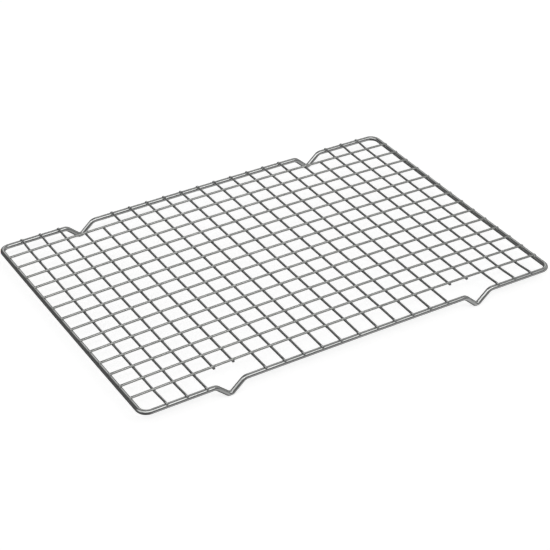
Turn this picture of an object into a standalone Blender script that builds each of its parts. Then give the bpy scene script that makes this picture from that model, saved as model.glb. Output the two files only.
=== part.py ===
"""Wire cooling rack: one bent frame wire on four V feet, carrying a welded mesh of two wire layers.

Metres, +Z up. X runs along the rack and Y across it, and the rack stands on Z = 0 with its middle
over the origin. Long wires and cross wires are numbered from the front left corner.
"""

import math

import bpy

# Driving dimensions.
OVERALL_LENGTH = 0.450
OVERALL_WIDTH = 0.310
FRAME_DIAMETER = 0.0048
MESH_DIAMETER = 0.0023
MESH_PITCH = 0.0199
LONG_WIRE_COUNT = 14
CROSS_WIRE_COUNT = 21
SHORT_CROSS_WIRES = (4, 5, 17, 18)  # these stop at the outermost long wires, above the feet
CORNER_RADIUS = 0.009
FOOT_FROM_MIDDLE = 0.1355
FOOT_DEPTH = 0.0116  # from the frame wire's centre line down to the toe's centre line
FOOT_SLOPE = math.radians(42)
SHOULDER_RADIUS = 0.008
TOE_RADIUS = 0.003
TOE_FLAT = 0.0012
LONG_SIDE_RISE = 0.0008  # of a long side's middle over its ends
SHORT_SIDE_SAG = 0.0012  # of a short side's middle under its ends
WELD_GAP = 0.00015  # left between welded wires, so that each stays a solid of its own
LONG_WIRE_PAST_FRAME = 0.0014  # past the frame wire's centre line
CROSS_WIRE_PAST_FRAME = 0.0020
STUB_PAST_LONG_WIRE = 0.0020

# Points along each wire, and the sides of its section.
CORNER_STEPS = 8
BEND_STEPS = 4
SIDE_STEP = 0.030
LONG_WIRE_STEPS = 12
CROSS_WIRE_STEPS = 7
FRAME_BEVEL_RESOLUTION = 4
MESH_BEVEL_RESOLUTION = 2

# What follows from them.
FRAME_RADIUS = FRAME_DIAMETER / 2
MESH_RADIUS = MESH_DIAMETER / 2
HALF_LENGTH = OVERALL_LENGTH / 2 - FRAME_RADIUS
HALF_WIDTH = OVERALL_WIDTH / 2 - FRAME_RADIUS
SEAT_HEIGHT = FRAME_RADIUS + WELD_GAP + MESH_RADIUS
LAYER_STEP = MESH_DIAMETER + WELD_GAP
OUTER_LONG_WIRE = (LONG_WIRE_COUNT - 1) / 2 * MESH_PITCH

# Colour, metallic value and roughness of the bright plated wires.
FINISHES = {
    "frame_wire": ((0.62, 0.63, 0.62, 1.0), 1.0, 0.20),
    "long_wires": ((0.64, 0.65, 0.64, 1.0), 1.0, 0.24),
    "cross_wires": ((0.60, 0.61, 0.60, 1.0), 1.0, 0.24),
}


def section_sides(bevel_resolution):
    return 4 + 2 * bevel_resolution


def flat_side_tilt(bevel_resolution):
    """The turn that puts a flat of the many-sided section straight down, and one straight up."""
    return math.pi / section_sides(bevel_resolution)


# The toe's flat is a little nearer to the centre line than the section's corners are.
TOE_REACH = FRAME_RADIUS * math.cos(flat_side_tilt(FRAME_BEVEL_RESOLUTION))


def spread(first, last, steps):
    """Evenly spaced values from first to last, both included."""
    return [first + (last - first) * step / steps for step in range(steps + 1)]


def frame_height(x, y):
    """Height of the frame's centre line: level corners, long sides bowed up, short sides sagging."""
    return LONG_SIDE_RISE * (y / HALF_WIDTH) ** 2 - SHORT_SIDE_SAG * (x / HALF_LENGTH) ** 2


def long_wire_height(x, y):
    """A shallow arch, seated on the short sides and lifted by the cross wires in the middle."""
    end = frame_height(HALF_LENGTH, y) + SEAT_HEIGHT
    crown = frame_height(0, HALF_WIDTH) + SEAT_HEIGHT + LAYER_STEP
    return crown + (end - crown) * (x / HALF_LENGTH) ** 2


def foot_profile():
    """The V foot as (along, height) pairs, from its left shoulder to its right one."""
    bends = (SHOULDER_RADIUS + TOE_RADIUS) * (1 - math.cos(FOOT_SLOPE))
    slope_length = (FOOT_DEPTH - bends) / math.sin(FOOT_SLOPE)
    half_foot = (
        TOE_FLAT / 2
        + (SHOULDER_RADIUS + TOE_RADIUS) * math.sin(FOOT_SLOPE)
        + slope_length * math.cos(FOOT_SLOPE)
    )
    right_half = []
    for angle in spread(0, FOOT_SLOPE, BEND_STEPS):
        along = TOE_FLAT / 2 + TOE_RADIUS * math.sin(angle)
        right_half.append((along, TOE_RADIUS * (1 - math.cos(angle)) - FOOT_DEPTH))
    for angle in spread(FOOT_SLOPE, 0, BEND_STEPS):
        along = half_foot - SHOULDER_RADIUS * math.sin(angle)
        right_half.append((along, SHOULDER_RADIUS * (math.cos(angle) - 1)))
    left_half = [(-along, height) for along, height in reversed(right_half)]
    return left_half + right_half


def straight_run(first, last):
    """Level (along, height) pairs strictly between two places on a side."""
    steps = max(1, round((last - first) / SIDE_STEP))
    return [(along, 0) for along in spread(first, last, steps)[1:-1]]


def front_side():
    """The front long side as (along, height) pairs, with its two feet."""
    foot = foot_profile()
    left_foot = [(along - FOOT_FROM_MIDDLE, height) for along, height in foot]
    right_foot = [(along + FOOT_FROM_MIDDLE, height) for along, height in foot]
    end = HALF_LENGTH - CORNER_RADIUS
    return (
        straight_run(-end, left_foot[0][0])
        + left_foot
        + straight_run(left_foot[-1][0], right_foot[0][0])
        + right_foot
        + straight_run(right_foot[-1][0], end)
    )


def right_corner(centre_y, first_angle):
    """A quarter turn of the frame wire at one end of the right side."""
    points = []
    for angle in spread(first_angle, first_angle + math.pi / 2, CORNER_STEPS):
        x = HALF_LENGTH + CORNER_RADIUS * (math.cos(angle) - 1)
        y = centre_y + CORNER_RADIUS * math.sin(angle)
        points.append((x, y, 0))
    return points


def frame_path():
    """The closed loop: the front and right sides with their corners, and the same turned half round."""
    side_end = HALF_WIDTH - CORNER_RADIUS
    half_loop = [(along, -HALF_WIDTH, height) for along, height in front_side()]
    half_loop += right_corner(-side_end, -math.pi / 2)
    half_loop += [(HALF_LENGTH, along, height) for along, height in straight_run(-side_end, side_end)]
    half_loop += right_corner(side_end, 0)
    loop = half_loop + [(-x, -y, z) for x, y, z in half_loop]
    return [(x, y, z + frame_height(x, y)) for x, y, z in loop]


def long_wire_path(y):
    end = HALF_LENGTH + LONG_WIRE_PAST_FRAME
    return [(x, 0, long_wire_height(x, y)) for x in spread(-end, end, LONG_WIRE_STEPS)]


def cross_wire_path(x, is_short):
    """Under the long wires, then up onto the frame's long sides unless the wire is a short one."""
    path = []
    for y in spread(-OUTER_LONG_WIRE, OUTER_LONG_WIRE, CROSS_WIRE_STEPS):
        path.append((0, y, long_wire_height(x, y) - LAYER_STEP))
    if is_short:
        stub_end = OUTER_LONG_WIRE + STUB_PAST_LONG_WIRE
        end_points = [(0, stub_end, path[-1][2])]
    else:
        seat = frame_height(x, HALF_WIDTH) + SEAT_HEIGHT
        end_points = [(0, HALF_WIDTH, seat), (0, HALF_WIDTH + CROSS_WIRE_PAST_FRAME, seat)]
    front_points = [(0, -y, z) for _, y, z in reversed(end_points)]
    return front_points + path + end_points


def clear_scene():
    for old in list(bpy.data.objects):
        bpy.data.objects.remove(old, do_unlink=True)


def make_material(name):
    colour, metallic, roughness = FINISHES[name]
    material = bpy.data.materials.new(name)
    material.use_nodes = True
    shader = material.node_tree.nodes["Principled BSDF"]
    shader.inputs["Base Color"].default_value = colour
    shader.inputs["Metallic"].default_value = metallic
    shader.inputs["Roughness"].default_value = roughness
    return material


def make_rack(collection):
    """The empty that carries every wire, level with the frame's corners."""
    rack = bpy.data.objects.new("rack_plane", None)
    rack.location = (0, 0, FOOT_DEPTH + TOE_REACH - frame_height(FOOT_FROM_MIDDLE, HALF_WIDTH))
    collection.objects.link(rack)
    return rack


def make_wire(rack, name, path, radius, bevel_resolution, material, closed=False):
    """A round wire along the path, as a child of the rack."""
    curve = bpy.data.curves.new(name, "CURVE")
    curve.dimensions = "3D"
    curve.twist_mode = "Z_UP"
    curve.bevel_depth = radius
    curve.bevel_resolution = bevel_resolution
    curve.use_fill_caps = not closed
    curve.materials.append(material)
    spline = curve.splines.new("POLY")
    spline.points.add(len(path) - len(spline.points))
    spline.use_cyclic_u = closed
    for point, place in zip(spline.points, path):
        point.co = (*place, 1)
        point.tilt = flat_side_tilt(bevel_resolution)
    wire = bpy.data.objects.new(name, curve)
    wire.parent = rack
    rack.users_collection[0].objects.link(wire)
    return wire


def make_frame_wire(rack):
    finish = make_material("frame_wire")
    make_wire(rack, "frame_wire", frame_path(), FRAME_RADIUS, FRAME_BEVEL_RESOLUTION, finish, closed=True)


def make_long_wires(rack):
    finish = make_material("long_wires")
    for number in range(1, LONG_WIRE_COUNT + 1):
        y = (number - (LONG_WIRE_COUNT + 1) / 2) * MESH_PITCH
        name = f"long_wire_{number:02d}"
        wire = make_wire(rack, name, long_wire_path(y), MESH_RADIUS, MESH_BEVEL_RESOLUTION, finish)
        wire.location.y = y


def make_cross_wires(rack):
    finish = make_material("cross_wires")
    for number in range(1, CROSS_WIRE_COUNT + 1):
        x = (number - (CROSS_WIRE_COUNT + 1) / 2) * MESH_PITCH
        is_short = number in SHORT_CROSS_WIRES
        name = f"short_cross_wire_{number:02d}" if is_short else f"cross_wire_{number:02d}"
        path = cross_wire_path(x, is_short)
        wire = make_wire(rack, name, path, MESH_RADIUS, MESH_BEVEL_RESOLUTION, finish)
        wire.location.x = x


def main():
    clear_scene()
    collection = bpy.data.collections.new("cooling_rack")
    bpy.context.scene.collection.children.link(collection)
    rack = make_rack(collection)
    make_frame_wire(rack)
    make_long_wires(rack)
    make_cross_wires(rack)


main()
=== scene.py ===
"""Looks for the wire cooling rack: every wire finely drawn and plated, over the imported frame."""

import math
import random
from collections import namedtuple

import bpy
from mathutils import Matrix, Vector


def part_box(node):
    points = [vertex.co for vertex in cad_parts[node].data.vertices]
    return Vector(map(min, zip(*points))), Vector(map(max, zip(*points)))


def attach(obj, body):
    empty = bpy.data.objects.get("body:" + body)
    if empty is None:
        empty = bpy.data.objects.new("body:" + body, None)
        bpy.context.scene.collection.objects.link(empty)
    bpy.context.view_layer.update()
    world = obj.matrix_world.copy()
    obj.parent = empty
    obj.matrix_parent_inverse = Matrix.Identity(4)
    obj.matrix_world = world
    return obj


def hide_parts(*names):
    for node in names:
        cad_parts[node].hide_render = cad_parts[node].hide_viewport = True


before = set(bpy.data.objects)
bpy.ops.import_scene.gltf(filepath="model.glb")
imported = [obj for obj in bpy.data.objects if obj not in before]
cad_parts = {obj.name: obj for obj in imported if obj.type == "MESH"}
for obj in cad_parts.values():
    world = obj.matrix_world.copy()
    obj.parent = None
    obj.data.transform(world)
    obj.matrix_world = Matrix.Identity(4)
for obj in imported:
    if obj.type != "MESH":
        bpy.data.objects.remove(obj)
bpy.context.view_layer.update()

# The rack's own measures, in metres and radians.
FRAME_RADIUS = 0.0024
MESH_RADIUS = 0.00115
MESH_PITCH = 0.0199
LONG_WIRE_COUNT = 14
CROSS_WIRE_COUNT = 21
SHORT_CROSS_WIRES = (4, 5, 17, 18)  # these stop just past the outermost long wires, above the feet
CORNER_RADIUS = 0.009
FOOT_FROM_MIDDLE = 0.1355
FOOT_SLOPE = math.radians(42)
FOOT_DEPTH = 0.0116
SHOULDER_RADIUS = 0.008
TOE_RADIUS = 0.003
TOE_FLAT = 0.0012
LONG_SIDE_RISE = 0.0008  # of a long side over the rack's middle line
SHORT_SIDE_SAG = 0.0012  # of a short side under it
LONG_WIRE_PAST_FRAME = 0.0010
CROSS_WIRE_PAST_FRAME = (0.0019, 0.0010)  # at the front and at the back
STUB_PAST_LONG_WIRE = 0.0013
FLOOR_CLEARANCE = 0.000006     # lifts each toe, as the bow lowers its outer end
SHORT_SIDE_SET_DOWN = 0.00085  # how far a weld has sunk a long wire into the frame wire,
LONG_SIDE_SET_DOWN = 0.00095   # the end of a cross wire into the frame wire,
CROSSING_SET_DOWN = 0.00042    # and a long wire into a cross wire
MESH_OVER_LONG_SIDES = 0.0031  # the cross wires' height over the frame wire, away from their ends

FRAME_LOW, FRAME_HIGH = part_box("frame_wire")
HALF_LENGTH = FRAME_HIGH.x - FRAME_RADIUS
HALF_WIDTH = FRAME_HIGH.y - FRAME_RADIUS
OUTER_LONG_WIRE = (LONG_WIRE_COUNT - 1) / 2 * MESH_PITCH
OUTER_CROSS_WIRE = (CROSS_WIRE_COUNT - 1) / 2 * MESH_PITCH
SHORT_SIDE_SEAT = FRAME_RADIUS + MESH_RADIUS - SHORT_SIDE_SET_DOWN
LONG_SIDE_SEAT = FRAME_RADIUS + MESH_RADIUS - LONG_SIDE_SET_DOWN
LAYER_STEP = 2 * MESH_RADIUS - CROSSING_SET_DOWN

LONG_WIRE_YS = [row * MESH_PITCH - OUTER_LONG_WIRE for row in range(LONG_WIRE_COUNT)]
CROSS_WIRE_XS = [row * MESH_PITCH - OUTER_CROSS_WIRE for row in range(CROSS_WIRE_COUNT)]
FULL_CROSS_XS = [x for n, x in enumerate(CROSS_WIRE_XS, 1) if n not in SHORT_CROSS_WIRES]

# The rings of a swept wire.
FRAME_SIDES = 24
MESH_SIDES = 20
ARC_STEP = math.radians(4)
LONGEST_RING_GAP = 0.005
SHORTEST_RING_GAP = 0.00012
WELD_RING_OFFSETS = (0.00035, 0.0007, 0.0011, 0.0016, 0.0024)
Ring = namedtuple("Ring", "centre ahead side up mark share")  # share is of the wire's radius

# What a weld does to a wire. A swell is a share of the radius, on the side that faces the weld.
WELD_REACH = 0.0009
# The grey near a weld reaches this far. It is partly weld tint and partly painted shade where the
# wires meet.
TINT_AND_SHADE_REACH = 0.0019
MESH_SWELL = 0.17
FRAME_SWELL = 0.05
MESH_TINT_POWER = 1   # a higher power keeps the tint nearer to the weld's own line
FRAME_TINT_POWER = 8

# The flat that a welding electrode leaves on a mesh wire, opposite the weld. Depth and spread are
# in radii. The flat is full within one distance from the weld and gone beyond the other.
Press = namedtuple("Press", "depth spread full_within gone_beyond")
CROSSING_PRESS = Press(0.20, 0.10, 0.0011, 0.0020)
SEAT_PRESS = Press(0.34, 0.10, 0.0017, 0.0027)
NO_PRESS = Press(0.0, 0.0, 0.0, 0.001)

# The rounded edge that the shear leaves on a cut end.
SHEAR_LENGTH = 0.00022
SHEAR_SHRINK = (0.97, 0.88, 0.74)
SHEAR_CURVE = 1.5

# The slight unevenness of a drawn wire.
SIDEWAYS_WANDER = 0.00010
UPWARD_WANDER = 0.00005
WANDER_WAVES = 3
WANDER_SIZES = (0.5, 1.0)
WANDER_RATES = (9, 26)  # radians per metre
CROSS_WIRE_SEED = 100


def smooth_share(value, start, end):
    share = min(max((value - start) / (end - start), 0), 1)
    return share * share * (3 - 2 * share)


def bow(x, y):
    return LONG_SIDE_RISE * (y / HALF_WIDTH) ** 2 - SHORT_SIDE_SAG * (x / HALF_LENGTH) ** 2


TOE_CENTRE = FRAME_LOW.z + FLOOR_CLEARANCE + FOOT_DEPTH + FRAME_RADIUS
RACK_PLANE = TOE_CENTRE - bow(FOOT_FROM_MIDDLE, HALF_WIDTH)


def frame_height(x, y):
    return RACK_PLANE + bow(x, y)


def long_wire_height(x, y):
    end = frame_height(HALF_LENGTH, y) + SHORT_SIDE_SEAT
    crown = frame_height(0, HALF_WIDTH) + MESH_OVER_LONG_SIDES + LAYER_STEP
    return crown + (end - crown) * (x / HALF_LENGTH) ** 2


def cross_wire_height(x, y):
    inner = long_wire_height(x, min(abs(y), OUTER_LONG_WIRE)) - LAYER_STEP
    seat = frame_height(x, HALF_WIDTH) + LONG_SIDE_SEAT
    return inner + (seat - inner) * smooth_share(abs(y), OUTER_LONG_WIRE, HALF_WIDTH)


def filleted(corners):
    """A closed line through the corners, given as (point, radius), with an arc at each."""
    line = []
    for index, (corner, radius) in enumerate(corners):
        before = (corners[index - 1][0] - corner).normalized()
        after = (corners[(index + 1) % len(corners)][0] - corner).normalized()
        half_angle = before.angle(after) / 2
        middle = (before + after).normalized()
        centre = corner + middle * (radius / math.sin(half_angle))
        turn = math.pi - 2 * half_angle
        axis = before.cross(after).normalized()
        steps = max(2, math.ceil(turn / ARC_STEP))
        start = corner + before * (radius / math.tan(half_angle)) - centre
        for step in range(steps + 1):
            line.append(centre + Matrix.Rotation(-turn * step / steps, 3, axis) @ start)
    return line


def frame_corners():
    """The frame's corners and the bends of its feet, anticlockwise from the front left."""
    toe_half = TOE_FLAT / 2 + TOE_RADIUS * math.tan(FOOT_SLOPE / 2)
    foot_half = toe_half + FOOT_DEPTH / math.tan(FOOT_SLOPE)
    foot = (
        (-foot_half, 0, SHOULDER_RADIUS),
        (-toe_half, -FOOT_DEPTH, TOE_RADIUS),
        (toe_half, -FOOT_DEPTH, TOE_RADIUS),
        (foot_half, 0, SHOULDER_RADIUS),
    )
    half = [(Vector((-HALF_LENGTH, -HALF_WIDTH, 0)), CORNER_RADIUS)]
    for middle in (-FOOT_FROM_MIDDLE, FOOT_FROM_MIDDLE):
        for x, z, radius in foot:
            half.append((Vector((middle + x, -HALF_WIDTH, z)), radius))
    half.append((Vector((HALF_LENGTH, -HALF_WIDTH, 0)), CORNER_RADIUS))
    turned = [(Vector((-point.x, -point.y, point.z)), radius) for point, radius in half]
    return half + turned


class Line:
    """A line through points, read by its length along."""

    def __init__(self, points, closed):
        self.points = points + points[:1] if closed else points
        self.closed = closed
        self.marks = [0.0]
        for a, b in zip(self.points, self.points[1:]):
            self.marks.append(self.marks[-1] + (b - a).length)
        self.length = self.marks[-1]

    def at(self, mark):
        """The point at a mark."""
        for index in range(len(self.marks) - 2):
            if mark < self.marks[index + 1]:
                break
        else:
            index = len(self.marks) - 2
        span = self.marks[index + 1] - self.marks[index]
        share = (mark - self.marks[index]) / span if span else 0
        return self.points[index].lerp(self.points[index + 1], share)

    def nearest(self, point):
        """The mark of the place nearest to a point."""
        best = (math.inf, 0.0)
        for index, (a, b) in enumerate(zip(self.points, self.points[1:])):
            along = b - a
            if not along.length:
                continue
            share = min(max((point - a).dot(along) / along.length_squared, 0), 1)
            gap = (a + along * share - point).length
            best = min(best, (gap, self.marks[index] + share * along.length))
        return best[1]


def stations(line, welds):
    """Where along the line its rings lie: at its own points, near each weld, and evenly between."""
    wanted = set(line.marks)
    for weld in welds:
        wanted.add(weld)
        for offset in WELD_RING_OFFSETS:
            wanted.update((weld - offset, weld + offset))
    kept = []
    for mark in sorted(wanted):
        if not 0 <= mark <= line.length or kept and mark - kept[-1] < SHORTEST_RING_GAP:
            continue
        if kept:
            steps = math.ceil((mark - kept[-1]) / LONGEST_RING_GAP)
            first = kept[-1]
            kept += [first + (mark - first) * step / steps for step in range(1, steps)]
        kept.append(mark)
    if line.length - kept[-1] < 2 * SHORTEST_RING_GAP:
        kept.pop()
    if not line.closed:
        kept.append(line.length)
    return kept


def sheared(ring, way):
    """The rings that round off a cut end, from the wire outwards."""
    made = []
    for step, share in enumerate((1.0,) + SHEAR_SHRINK):
        back = SHEAR_LENGTH * (1 - step / len(SHEAR_SHRINK)) ** SHEAR_CURVE
        place = ring.centre - ring.ahead * way * back
        made.append(ring._replace(centre=place, mark=ring.mark - way * back, share=share))
    return made


def rings_along(centres, marks, closed):
    count = len(centres)
    rings = []
    for index, centre in enumerate(centres):
        before = centres[index - 1] if index or closed else centre
        after = centres[(index + 1) % count] if index < count - 1 or closed else centre
        ahead = (after - centre).normalized() + (centre - before).normalized()
        ahead.normalize()
        side = Vector((-ahead.y, ahead.x, 0)).normalized()
        up = ahead.cross(side).normalized()
        rings.append(Ring(centre, ahead, side, up, marks[index], 1.0))
    if closed:
        return rings
    return sheared(rings[0], -1)[::-1] + rings[1:-1] + sheared(rings[-1], 1)


def lap_gap(mark, weld, lap):
    """How far apart two marks are, also the other way round a closed wire."""
    gap = abs(mark - weld)
    return min(gap, lap - gap) if lap else gap


def section_point(angle, gap, side, swell, press):
    """A point of the section at a gap along from a weld on that side, in radii across and up."""
    across, up = math.cos(angle), math.sin(angle)
    bulge = 1 + swell * math.exp(-((gap / WELD_REACH) ** 2)) * max(0.0, up * side)
    across, up = across * bulge, up * bulge
    pressed = 1 - smooth_share(gap, press.full_within, press.gone_beyond)
    across *= 1 + press.spread * pressed
    limit = 1 - press.depth * pressed
    if -up * side > limit:
        up = -side * limit
    return across, up


def skin(rings, lap, radius, sides, welds, swell, tint_power):
    """The points of every ring, and how much grey each has: near a weld, on the side facing the
    other wire, partly weld tint and partly painted shade; on the bare cut ends, full grey.
    """
    points, weld_and_shade_greys = [], []
    for ring in rings:
        gap, side, press = min(
            (lap_gap(ring.mark, mark, lap), way, flat) for mark, way, flat in welds
        )
        weld_nearness = math.exp(-((gap / TINT_AND_SHADE_REACH) ** 2))
        for corner in range(sides):
            angle = 2 * math.pi * corner / sides
            across, up = section_point(angle, gap, side, swell, press)
            across, up = across * ring.share, up * ring.share
            points.append(ring.centre + (ring.side * across + ring.up * up) * radius)
            # Grey on the side that faces the weld: partly weld tint, partly painted shade where the
            # other wire meets this one.
            facing = max(0.0, math.sin(angle) * side) ** tint_power
            weld_and_shade_greys.append(1.0 if ring.share < 1 else weld_nearness * facing)
    return points, weld_and_shade_greys


def strips(ring_count, sides, closed):
    """The quads between neighbouring rings, and the two end faces of an open wire."""
    faces = []
    for ring in range(ring_count if closed else ring_count - 1):
        low = ring * sides
        high = (ring + 1) % ring_count * sides
        for corner in range(sides):
            other = (corner + 1) % sides
            faces.append((low + corner, low + other, high + other, high + corner))
    if not closed:
        faces.append(tuple(reversed(range(sides))))
        faces.append(tuple(range((ring_count - 1) * sides, ring_count * sides)))
    return faces


def lay_wire_uv(mesh, rings, sides, lap, radius):
    """A UV map in metres along and round the wire. The quads at a seam run on past it."""
    layer = mesh.uv_layers.new(name="wire_uv")
    around = 2 * math.pi * radius
    last_strip = (len(rings) - 1) * sides
    for polygon in mesh.polygons:
        is_quad = len(polygon.loop_indices) == 4
        for place, loop in enumerate(polygon.loop_indices):
            ring, corner = divmod(mesh.loops[loop].vertex_index, sides)
            along = rings[ring].mark
            if is_quad and lap and polygon.index >= last_strip and ring == 0:
                along = lap
            if is_quad and place in (1, 2) and corner == 0:
                corner = sides
            layer.data[loop].uv = (along, around * corner / sides)


def sweep(name, centres, marks, lap, radius, sides, welds, swell, tint_power):
    """
    A round wire along the centres, with welds given as (mark, side, press). A closed wire has its
    length as lap, and an open one has 0. Near each weld the side facing it swells, the other side
    is pressed flat, and a grey attribute rises, partly weld tint and partly painted shade where the
    other wire meets it.
    """
    rings = rings_along(centres, marks, bool(lap))
    points, weld_and_shade_greys = skin(rings, lap, radius, sides, welds, swell, tint_power)
    mesh = bpy.data.meshes.new(name)
    mesh.from_pydata(points, [], strips(len(rings), sides, bool(lap)))
    mesh.attributes.new("weld_tint_and_shade", "FLOAT", "POINT").data.foreach_set("value", weld_and_shade_greys)
    lay_wire_uv(mesh, rings, sides, lap, radius)
    mesh.shade_smooth()
    if not lap:
        for end_face in list(mesh.polygons)[-2:]:
            end_face.use_smooth = False
    piece = bpy.data.objects.new(name, mesh)
    bpy.context.scene.collection.objects.link(piece)
    return piece


def wave(rng, reach):
    """A slow, slight unevenness along a wire, as (mark) -> metres."""
    parts = []
    for _ in range(WANDER_WAVES):
        size = rng.uniform(*WANDER_SIZES)
        rate = rng.uniform(*WANDER_RATES)
        parts.append((size, rate, rng.uniform(0, 2 * math.pi)))
    return lambda mark: (
        reach * sum(size * math.sin(rate * mark + phase) for size, rate, phase in parts)
        / WANDER_WAVES
    )


def mesh_wire(name, height, welds, ends, fixed, along_x, seed):
    """A straight mesh wire, run along X or Y at the height that the rack gives it there."""
    rng = random.Random(seed)
    sway = wave(rng, SIDEWAYS_WANDER)
    rise = wave(rng, UPWARD_WANDER)
    low, high = ends
    welds = [(run - low, side, press) for run, side, press in welds]
    rough = Line([Vector((low, 0, 0)), Vector((high, 0, 0))], closed=False)
    marks = stations(rough, [mark for mark, _, _ in welds])
    centres = []
    for mark in marks:
        run = low + mark
        x, y = (run, fixed) if along_x else (fixed, run)
        shift = sway(mark)
        place = Vector((x, y + shift, 0)) if along_x else Vector((x + shift, y, 0))
        place.z = height(x, y) + rise(mark)
        centres.append(place)
    return sweep(
        name, centres, marks, 0.0, MESH_RADIUS, MESH_SIDES, welds, MESH_SWELL, MESH_TINT_POWER,
    )


def frame_wire():
    """The frame: one thick wire bent round, with the mesh wires' seats along its top."""
    flat = Line(filleted(frame_corners()), closed=True)
    seats = []
    for y in LONG_WIRE_YS:
        for side in (-HALF_LENGTH, HALF_LENGTH):
            seats.append(flat.nearest(Vector((side, y, 0))))
    for x in FULL_CROSS_XS:
        for side in (-HALF_WIDTH, HALF_WIDTH):
            seats.append(flat.nearest(Vector((x, side, 0))))
    marks = stations(flat, seats)
    centres = []
    for mark in marks:
        place = flat.at(mark)
        place.z += frame_height(place.x, place.y)
        centres.append(place)
    welds = [(seat, 1, NO_PRESS) for seat in seats]
    return sweep(
        "frame_wire_plated", centres, marks, flat.length, FRAME_RADIUS, FRAME_SIDES, welds,
        FRAME_SWELL, FRAME_TINT_POWER,
    )


class Nodes:
    """A node tree, with short ways to add to it."""

    def __init__(self, tree):
        self.tree = tree

    def add(self, kind, **settings):
        node = self.tree.nodes.new(kind)
        for key, value in settings.items():
            setattr(node, key, value)
        return node

    def link(self, source, target):
        self.tree.links.new(source, target)

    def feed(self, socket, value):
        """Links an output to the socket, or sets a plain number or colour on it."""
        if isinstance(value, bpy.types.NodeSocket):
            self.link(value, socket)
        elif isinstance(value, tuple):
            socket.default_value = (*value, 1)
        else:
            socket.default_value = value

    def noise(self, vector, scale, detail, roughness=0.5, stretch=(1, 1, 1)):
        """A noise field, stretched along the axes that stretch makes small."""
        mapping = self.add("ShaderNodeMapping")
        mapping.inputs["Scale"].default_value = stretch
        self.link(vector, mapping.inputs["Vector"])
        node = self.add("ShaderNodeTexNoise")
        node.inputs["Scale"].default_value = scale
        node.inputs["Detail"].default_value = detail
        node.inputs["Roughness"].default_value = roughness
        self.link(mapping.outputs["Vector"], node.inputs["Vector"])
        return node.outputs["Fac"]

    def range(self, value, old, new, kind="LINEAR"):
        """The value, taken from the old range to the new one and kept inside it."""
        node = self.add("ShaderNodeMapRange", interpolation_type=kind)
        for socket, number in zip(node.inputs[1:5], (*old, *new)):
            socket.default_value = number
        self.link(value, node.inputs["Value"])
        return node.outputs["Result"]

    def math(self, operation, first, second):
        node = self.add("ShaderNodeMath", operation=operation)
        self.feed(node.inputs[0], first)
        self.feed(node.inputs[1], second)
        return node.outputs["Value"]

    def mix(self, share, first, second):
        """A colour between two, each a colour tuple or a socket."""
        node = self.add("ShaderNodeMix", data_type="RGBA")
        self.link(share, node.inputs["Factor"])
        self.feed(node.inputs[6], first)
        self.feed(node.inputs[7], second)
        return node.outputs[2]


def new_material(name):
    """A material with its nodes and its Principled shader's inputs."""
    material = bpy.data.materials.new(name)
    material.use_nodes = True
    shader = next(node for node in material.node_tree.nodes if node.type == "BSDF_PRINCIPLED")
    return material, Nodes(material.node_tree), shader.inputs


# Plating, as (clean colour, dull colour, roughness where clean, roughness where dull).
# All three are the same plating. The frame's colour is painted lighter and the cross wires' darker
# than the long wires', as painted light and painted shade.
FRAME_PLATING = ((0.75, 0.76, 0.75), (0.66, 0.67, 0.66), 0.13, 0.20)
LONG_WIRE_PLATING = ((0.67, 0.68, 0.66), (0.59, 0.60, 0.58), 0.18, 0.26)
CROSS_WIRE_PLATING = ((0.61, 0.62, 0.61), (0.51, 0.52, 0.52), 0.14, 0.22)
# The grey near welds: partly weld tint, partly painted shade and a painted dark reflection where
# the wires meet.
WELD_TINT_AND_SHADE_GREY = (0.15, 0.15, 0.155)

# Its marks, in cycles per metre: along the wire, round it and an unused third, or every way.
DRAW_LINES = (60, 6500, 1)
WELD_SMEARS = (140, 420, 1)
CLOUDS = 55
PITS = 1900

# The noise values between which each effect runs from least to most.
CLOUD_COLOUR_RANGE = (0.38, 0.68)
CLOUD_GLOSS_RANGE = (0.35, 0.7)
LINE_RANGE = (0.35, 0.75)
SMEAR_RANGE = (0.3, 0.7)

# How much of the weld grey shows, at least and at most. It is partly weld tint and partly painted
# shade.
WELD_AND_SHADE_SHARES = (0.45, 0.95)
FULL_WELD_AND_SHADE = 0.7
LINE_DULLING = 0.07
WELD_DULLING = 0.14
RELIEF_STRENGTH = 0.32
RELIEF_DEPTH = 0.00003
PIT_RELIEF = 0.45


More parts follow.
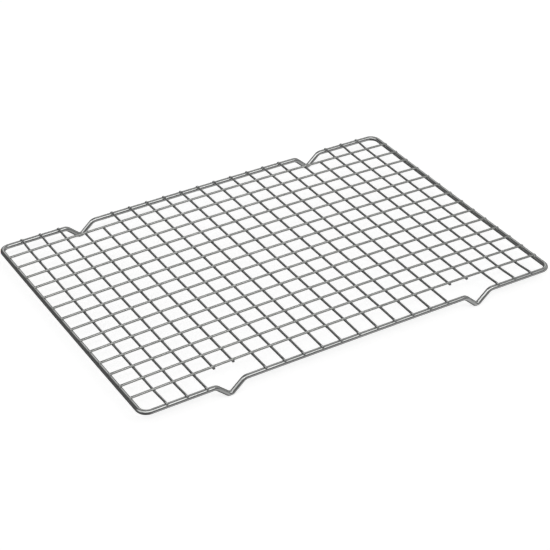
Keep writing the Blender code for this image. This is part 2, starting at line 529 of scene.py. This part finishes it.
def plated_steel(name, clean, dull, gloss, dullness):
    """Bright plating over drawn wire: draw lines, faint clouds, small pits, and grey near the
    welds, which is partly weld tint and partly painted shade where the wires meet.
    """
    material, made, shader = new_material(name)
    place = made.add("ShaderNodeTexCoord").outputs["Object"]
    wire = made.add("ShaderNodeUVMap", uv_map="wire_uv").outputs["UV"]
    weld_and_shade_amount = made.add("ShaderNodeAttribute", attribute_name="weld_tint_and_shade").outputs["Fac"]
    lines = made.noise(wire, 1, 3, 0.6, stretch=DRAW_LINES)
    clouds = made.noise(place, CLOUDS, 3)
    pits = made.noise(place, PITS, 2)
    smears = made.noise(wire, 1, 2, 0.5, stretch=WELD_SMEARS)
    colour = made.mix(made.range(clouds, CLOUD_COLOUR_RANGE, (0, 1)), clean, dull)
    # The grey near welds: partly weld tint, partly painted shade and a painted dark reflection
    # where the wires meet.
    weld_and_shade_share = made.math("MULTIPLY", weld_and_shade_amount, made.range(smears, SMEAR_RANGE, WELD_AND_SHADE_SHARES))
    made.link(made.mix(weld_and_shade_share, colour, WELD_TINT_AND_SHADE_GREY), shader["Base Color"])
    satin = made.range(clouds, CLOUD_GLOSS_RANGE, (gloss, dullness))
    satin = made.math("ADD", satin, made.range(lines, LINE_RANGE, (0, LINE_DULLING)))
    satin = made.math("ADD", satin, made.range(weld_and_shade_share, (0, FULL_WELD_AND_SHADE), (0, WELD_DULLING)))
    made.link(satin, shader["Roughness"])
    bump = made.add("ShaderNodeBump")
    bump.inputs["Strength"].default_value = RELIEF_STRENGTH
    bump.inputs["Distance"].default_value = RELIEF_DEPTH
    relief = made.math("ADD", lines, made.math("MULTIPLY", pits, PIT_RELIEF))
    made.link(relief, bump.inputs["Height"])
    made.link(bump.outputs["Normal"], shader["Normal"])
    shader["Metallic"].default_value = 1
    return material


def finish_piece(piece, material, node):
    piece.data.materials.append(material)
    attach(piece, "root")
    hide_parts(node)


def build_frame():
    plating = plated_steel("frame_plating", *FRAME_PLATING)
    finish_piece(frame_wire(), plating, "frame_wire")


def build_long_wires():
    plating = plated_steel("long_wire_plating", *LONG_WIRE_PLATING)
    reach = HALF_LENGTH + LONG_WIRE_PAST_FRAME
    seats = [(-HALF_LENGTH, -1, SEAT_PRESS), (HALF_LENGTH, -1, SEAT_PRESS)]
    welds = seats + [(x, -1, CROSSING_PRESS) for x in CROSS_WIRE_XS]
    for number, y in enumerate(LONG_WIRE_YS, 1):
        node = f"long_wire_{number:02d}"
        wire = mesh_wire(
            f"{node}_plated", long_wire_height, welds, (-reach, reach), y, True, number,
        )
        finish_piece(wire, plating, node)


def build_cross_wires():
    plating = plated_steel("cross_wire_plating", *CROSS_WIRE_PLATING)
    crossings = [(y, 1, CROSSING_PRESS) for y in LONG_WIRE_YS]
    seats = [(-HALF_WIDTH, -1, SEAT_PRESS), (HALF_WIDTH, -1, SEAT_PRESS)]
    stub = OUTER_LONG_WIRE + STUB_PAST_LONG_WIRE
    front, back = (HALF_WIDTH + past for past in CROSS_WIRE_PAST_FRAME)
    for number, x in enumerate(CROSS_WIRE_XS, 1):
        short = number in SHORT_CROSS_WIRES
        ends = (-stub, stub) if short else (-front, back)
        node = f"{'short_' if short else ''}cross_wire_{number:02d}"
        welds = crossings if short else crossings + seats
        seed = CROSS_WIRE_SEED + number
        wire = mesh_wire(f"{node}_plated", cross_wire_height, welds, ends, x, False, seed)
        finish_piece(wire, plating, node)


# The studio, in metres and degrees. The camera is at the photograph's viewing angle.
CAMERA_PLACE = (-0.70324, -1.15870, 0.89934)
CAMERA_BEARING = 31.359
CAMERA_ELEVATION = 33.753
CAMERA_ROLL = 0.284
CAMERA_LENS = 108.06
CAMERA_SENSOR = 36
CAMERA_CLIP = 0.05

PANEL_TOWARDS = (0.2, -0.3, 1.0)
PANEL_DISTANCE = 2.2
PANEL_SIDE = 2.4
PANEL_RADIANCE = 0.25

FLOOR_REACH = 30.0
FLOOR_DROP = 0.00002  # below the toes, so that the two surfaces don't coincide
FLOOR_GREY = 0.55
FLOOR_ROUGHNESS = 0.9
FLOOR_GLOW = 0.745
BACKDROP_GLOW = 0.88  # of the studio where it is seen directly, past the floor's edge

# A strip of light lies square to this direction, full and gone at these angles off its middle.
STRIP = ((0.157, 0.802, 0.576), 3, 13)

# The soft light round the rack, as (direction, full within, gone beyond, radiance, strip).
STUDIO_DARK = 0.095
STUDIO_LIGHTS = (
    ((-0.08, -0.56, 0.82), 28, 45, 1.85, STRIP),
    ((0.0, -0.55, 0.83), 15, 60, 0.24, None),
    ((0.433, 0.71, 0.556), 8, 20, 0.50, None),
    ((0.433, 0.71, 0.556), 8, 40, 0.09, None),
    ((0.62, -0.42, -0.66), 12, 46, 0.38, None),
    ((-0.85, 0.10, 0.50), 10, 38, 0.16, None),
    ((0.93, -0.20, 0.25), 10, 50, 0.10, None),
    ((-0.75, 0.05, 0.66), 8, 34, 0.55, None),
    ((0.90, 0.10, 0.42), 8, 30, 0.22, None),
)


def add_camera():
    camera = bpy.data.objects.new("camera", bpy.data.cameras.new("camera"))
    camera.data.lens = CAMERA_LENS
    camera.data.sensor_width = CAMERA_SENSOR
    camera.data.clip_start = CAMERA_CLIP
    bpy.context.scene.collection.objects.link(camera)
    camera.matrix_world = (
        Matrix.Translation(CAMERA_PLACE)
        @ Matrix.Rotation(-math.radians(CAMERA_BEARING), 4, "Z")
        @ Matrix.Rotation(math.pi / 2 - math.radians(CAMERA_ELEVATION), 4, "X")
        @ Matrix.Rotation(math.radians(CAMERA_ROLL), 4, "Z")
    )
    bpy.context.scene.camera = camera


def add_floor():
    """A plain pale floor, which the plating doesn't reflect."""
    mesh = bpy.data.meshes.new("floor")
    reach = FLOOR_REACH
    mesh.from_pydata(
        [(-reach, -reach, 0), (reach, -reach, 0), (reach, reach, 0), (-reach, reach, 0)],
        [], [(0, 1, 2, 3)],
    )
    floor = bpy.data.objects.new("floor", mesh)
    floor.location.z = -FLOOR_DROP
    material, made, shader = new_material("floor_paper")
    made.feed(shader["Base Color"], (FLOOR_GREY, FLOOR_GREY, FLOOR_GREY))
    made.feed(shader["Roughness"], FLOOR_ROUGHNESS)
    made.feed(shader["Specular IOR Level"], 0)
    made.feed(shader["Emission Color"], (1, 1, 1))
    made.feed(shader["Emission Strength"], FLOOR_GLOW)
    mesh.materials.append(material)
    bpy.context.scene.collection.objects.link(floor)
    floor.visible_glossy = False


def add_world():
    """The dark studio that the plating reflects: a strip above the front, and weaker lights."""
    world = bpy.data.worlds.new("studio")
    world.use_nodes = True
    made = Nodes(world.node_tree)
    way = made.add("ShaderNodeTexCoord").outputs["Generated"]

    def towards(direction):
        dot = made.add("ShaderNodeVectorMath", operation="DOT_PRODUCT")
        dot.inputs[1].default_value = Vector(direction).normalized()
        made.link(way, dot.inputs[0])
        return dot.outputs["Value"]

    def fade(value, gone, full):
        return made.range(value, (gone, full), (0, 1), "SMOOTHSTEP")

    total = STUDIO_DARK
    for direction, inner, outer, radiance, strip in STUDIO_LIGHTS:
        inner, outer = math.radians(inner), math.radians(outer)
        lobe = fade(towards(direction), math.cos(outer), math.cos(inner))
        if strip:
            pole, near, far = strip
            aside = made.math("ABSOLUTE", towards(pole), 0)
            middle = fade(aside, math.sin(math.radians(far)), math.sin(math.radians(near)))
            lobe = made.math("MULTIPLY", lobe, middle)
        total = made.math("ADD", total, made.math("MULTIPLY", lobe, radiance))
    seen = made.add("ShaderNodeLightPath").outputs["Is Camera Ray"]
    total = made.math("ADD", total, made.math("MULTIPLY", seen, BACKDROP_GLOW))
    made.link(total, world.node_tree.nodes["Background"].inputs["Color"])
    bpy.context.scene.world = world


def add_overhead_panel():
    """A soft panel that faces the rack, for the floor alone: it isn't seen in reflections."""
    light = bpy.data.lights.new("overhead_panel", "AREA")
    light.shape = "RECTANGLE"
    light.size = light.size_y = PANEL_SIDE
    light.energy = math.pi * PANEL_SIDE * PANEL_SIDE * PANEL_RADIANCE
    panel = bpy.data.objects.new("overhead_panel", light)
    way = Vector(PANEL_TOWARDS).normalized()
    panel.location = way * PANEL_DISTANCE
    panel.rotation_euler = way.to_track_quat("Z", "Y").to_euler()
    panel.visible_camera = False
    panel.visible_glossy = False
    bpy.context.scene.collection.objects.link(panel)


build_frame()
build_long_wires()
build_cross_wires()
add_camera()
add_floor()
add_world()
add_overhead_panel()
bpy.context.scene.view_settings.view_transform = "Standard"
